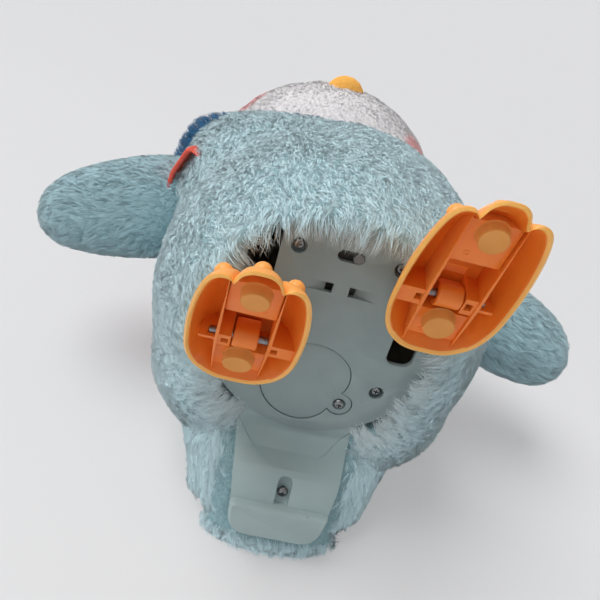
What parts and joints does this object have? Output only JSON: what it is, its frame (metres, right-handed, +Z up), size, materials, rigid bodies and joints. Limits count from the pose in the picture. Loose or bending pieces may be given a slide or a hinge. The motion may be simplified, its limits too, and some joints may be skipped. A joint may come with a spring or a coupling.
{
  "type": "interactive toy penguin",
  "caption": "Walking plush toy penguin with hinged orange feet on swinging legs, flapping wings, a tail support and a plastic base plate.",
  "frame": {"origin": "under the middle of the bounding box, level with the lowest toe of the hanging feet", "axes": "+Z up; -Y is the front, the way the belly, face and toes point; +X is towards the left wing of the toy"},
  "size_m": [0.2984, 0.1916, 0.285],
  "materials": {
    "base_plastic": "matte, fine moulded grain",
    "tail_plastic": "matte, fine moulded grain",
    "orange_plastic": "satin, slightly translucent at thin rims",
    "orange_pad": "matte, soft",
    "grey_plastic": "matte",
    "black_plastic": "matte",
    "white_plastic": "matte",
    "circuit_green": "satin board",
    "cell_wrap": "printed film, left plain",
    "steel": "zinc plated",
    "eye_black": "gloss",
    "pale_blue_plush": "long soft pile",
    "white_plush": "short dense pile",
    "beak_plush": "short smooth pile",
    "navy_trim": "long fluffy pile",
    "coral_cloth": "smooth woven cloth"
  },
  "bodies": {
    "chassis": {"base_plate": "base_plastic", "base_screw_front_left": "steel", "base_screw_front_right": "steel", "base_screw_rear_left": "steel", "base_screw_rear_right": "steel", "battery_cell_1": "cell_wrap", "battery_cell_2": "cell_wrap", "battery_cell_3": "cell_wrap", "battery_top_contacts": "steel", "beak": "beak_plush", "body_plush": "pale_blue_plush", "circuit_board": "circuit_green", "drive_motor": "steel", "eye_left": "eye_black", "eye_right": "eye_black", "face_plush": "white_plush", "gearbox_left": "white_plastic", "gearbox_right": "grey_plastic", "hip_pin_left": "steel", "hip_pin_right": "steel", "hood_plush": "pale_blue_plush", "housing_front": "white_plastic", "housing_rear": "white_plastic", "neck_collar": "navy_trim", "slide_switch": "black_plastic", "speaker": "black_plastic", "tail_plush": "pale_blue_plush", "tail_screw": "steel", "tail_support": "tail_plastic", "vest": "coral_cloth", "wing_pin_left": "steel", "wing_pin_right": "steel"},
    "battery_cover": {"battery_door": "base_plastic", "battery_door_screw": "steel", "battery_door_contacts": "steel"},
    "switch_knob": {"power_switch_knob": "grey_plastic"},
    "crank": {"crank_shaft": "steel", "worm_wheel": "white_plastic"},
    "worm": {"motor_worm": "steel"},
    "left_leg": {"leg_left": "orange_plastic"},
    "right_leg": {"leg_right": "orange_plastic"},
    "left_foot": {"foot_left": "orange_plastic", "front_pad_left": "orange_pad", "heel_pad_left": "orange_pad", "ankle_pin_left": "steel"},
    "right_foot": {"foot_right": "orange_plastic", "front_pad_right": "orange_pad", "heel_pad_right": "orange_pad", "ankle_pin_right": "steel"},
    "left_wing": {"wing_spar_left": "white_plastic", "wing_plush_left": "pale_blue_plush"},
    "right_wing": {"wing_spar_right": "white_plastic", "wing_plush_right": "pale_blue_plush"}
  },
  "joints": [
    {"name": "left_hip", "type": "hinge", "parent": "chassis", "child": "left_leg", "pos_m": [0.0346, -0.03125, 0.127], "axis": [-1, 0, 0], "range_deg": [-20.8, 0]},
    {"name": "right_hip", "type": "hinge", "parent": "chassis", "child": "right_leg", "pos_m": [-0.0346, -0.03125, 0.127], "axis": [1, 0, 0], "range_deg": [-20.8, 0]},
    {"name": "left_ankle", "type": "hinge", "parent": "left_leg", "child": "left_foot", "pos_m": [0.0346, -0.04975, 0.0262], "axis": [1, 0, 0], "range_deg": [-46.2, 0]},
    {"name": "right_ankle", "type": "hinge", "parent": "right_leg", "child": "right_foot", "pos_m": [-0.0346, -0.01275, 0.0262], "axis": [1, 0, 0], "range_deg": [-33.4, 13]},
    {"name": "crank_turn", "type": "hinge", "parent": "chassis", "child": "crank", "pos_m": [0, -0.03125, 0.095], "axis": [1, 0, 0], "continuous": true},
    {"name": "worm_turn", "type": "hinge", "parent": "chassis", "child": "worm", "pos_m": [0, -0.01565, 0.096], "axis": [0, 0, 1], "continuous": true},
    {"name": "left_wing_flap", "type": "hinge", "parent": "chassis", "child": "left_wing", "pos_m": [0.05, -0.00725, 0.146], "axis": [0, -1, 0], "range_deg": [0, 20]},
    {"name": "right_wing_flap", "type": "hinge", "parent": "chassis", "child": "right_wing", "pos_m": [-0.05, -0.00725, 0.146], "axis": [0, 1, 0], "range_deg": [0, 20]},
    {"name": "switch_slide", "type": "slide", "parent": "chassis", "child": "switch_knob", "axis": [1, 0, 0], "range_m": [-0.0056, 0]},
    {"name": "battery_cover_lift", "type": "slide", "parent": "chassis", "child": "battery_cover", "axis": [0, 0, -1], "range_m": [0, 0.008]}
  ],
  "couplings": [
    {"joint": "right_hip", "follows": "left_hip", "ratio": 1},
    {"joint": "worm_turn", "follows": "crank_turn", "ratio": 20},
    {"joint": "right_wing_flap", "follows": "left_wing_flap", "ratio": 1}
  ]
}
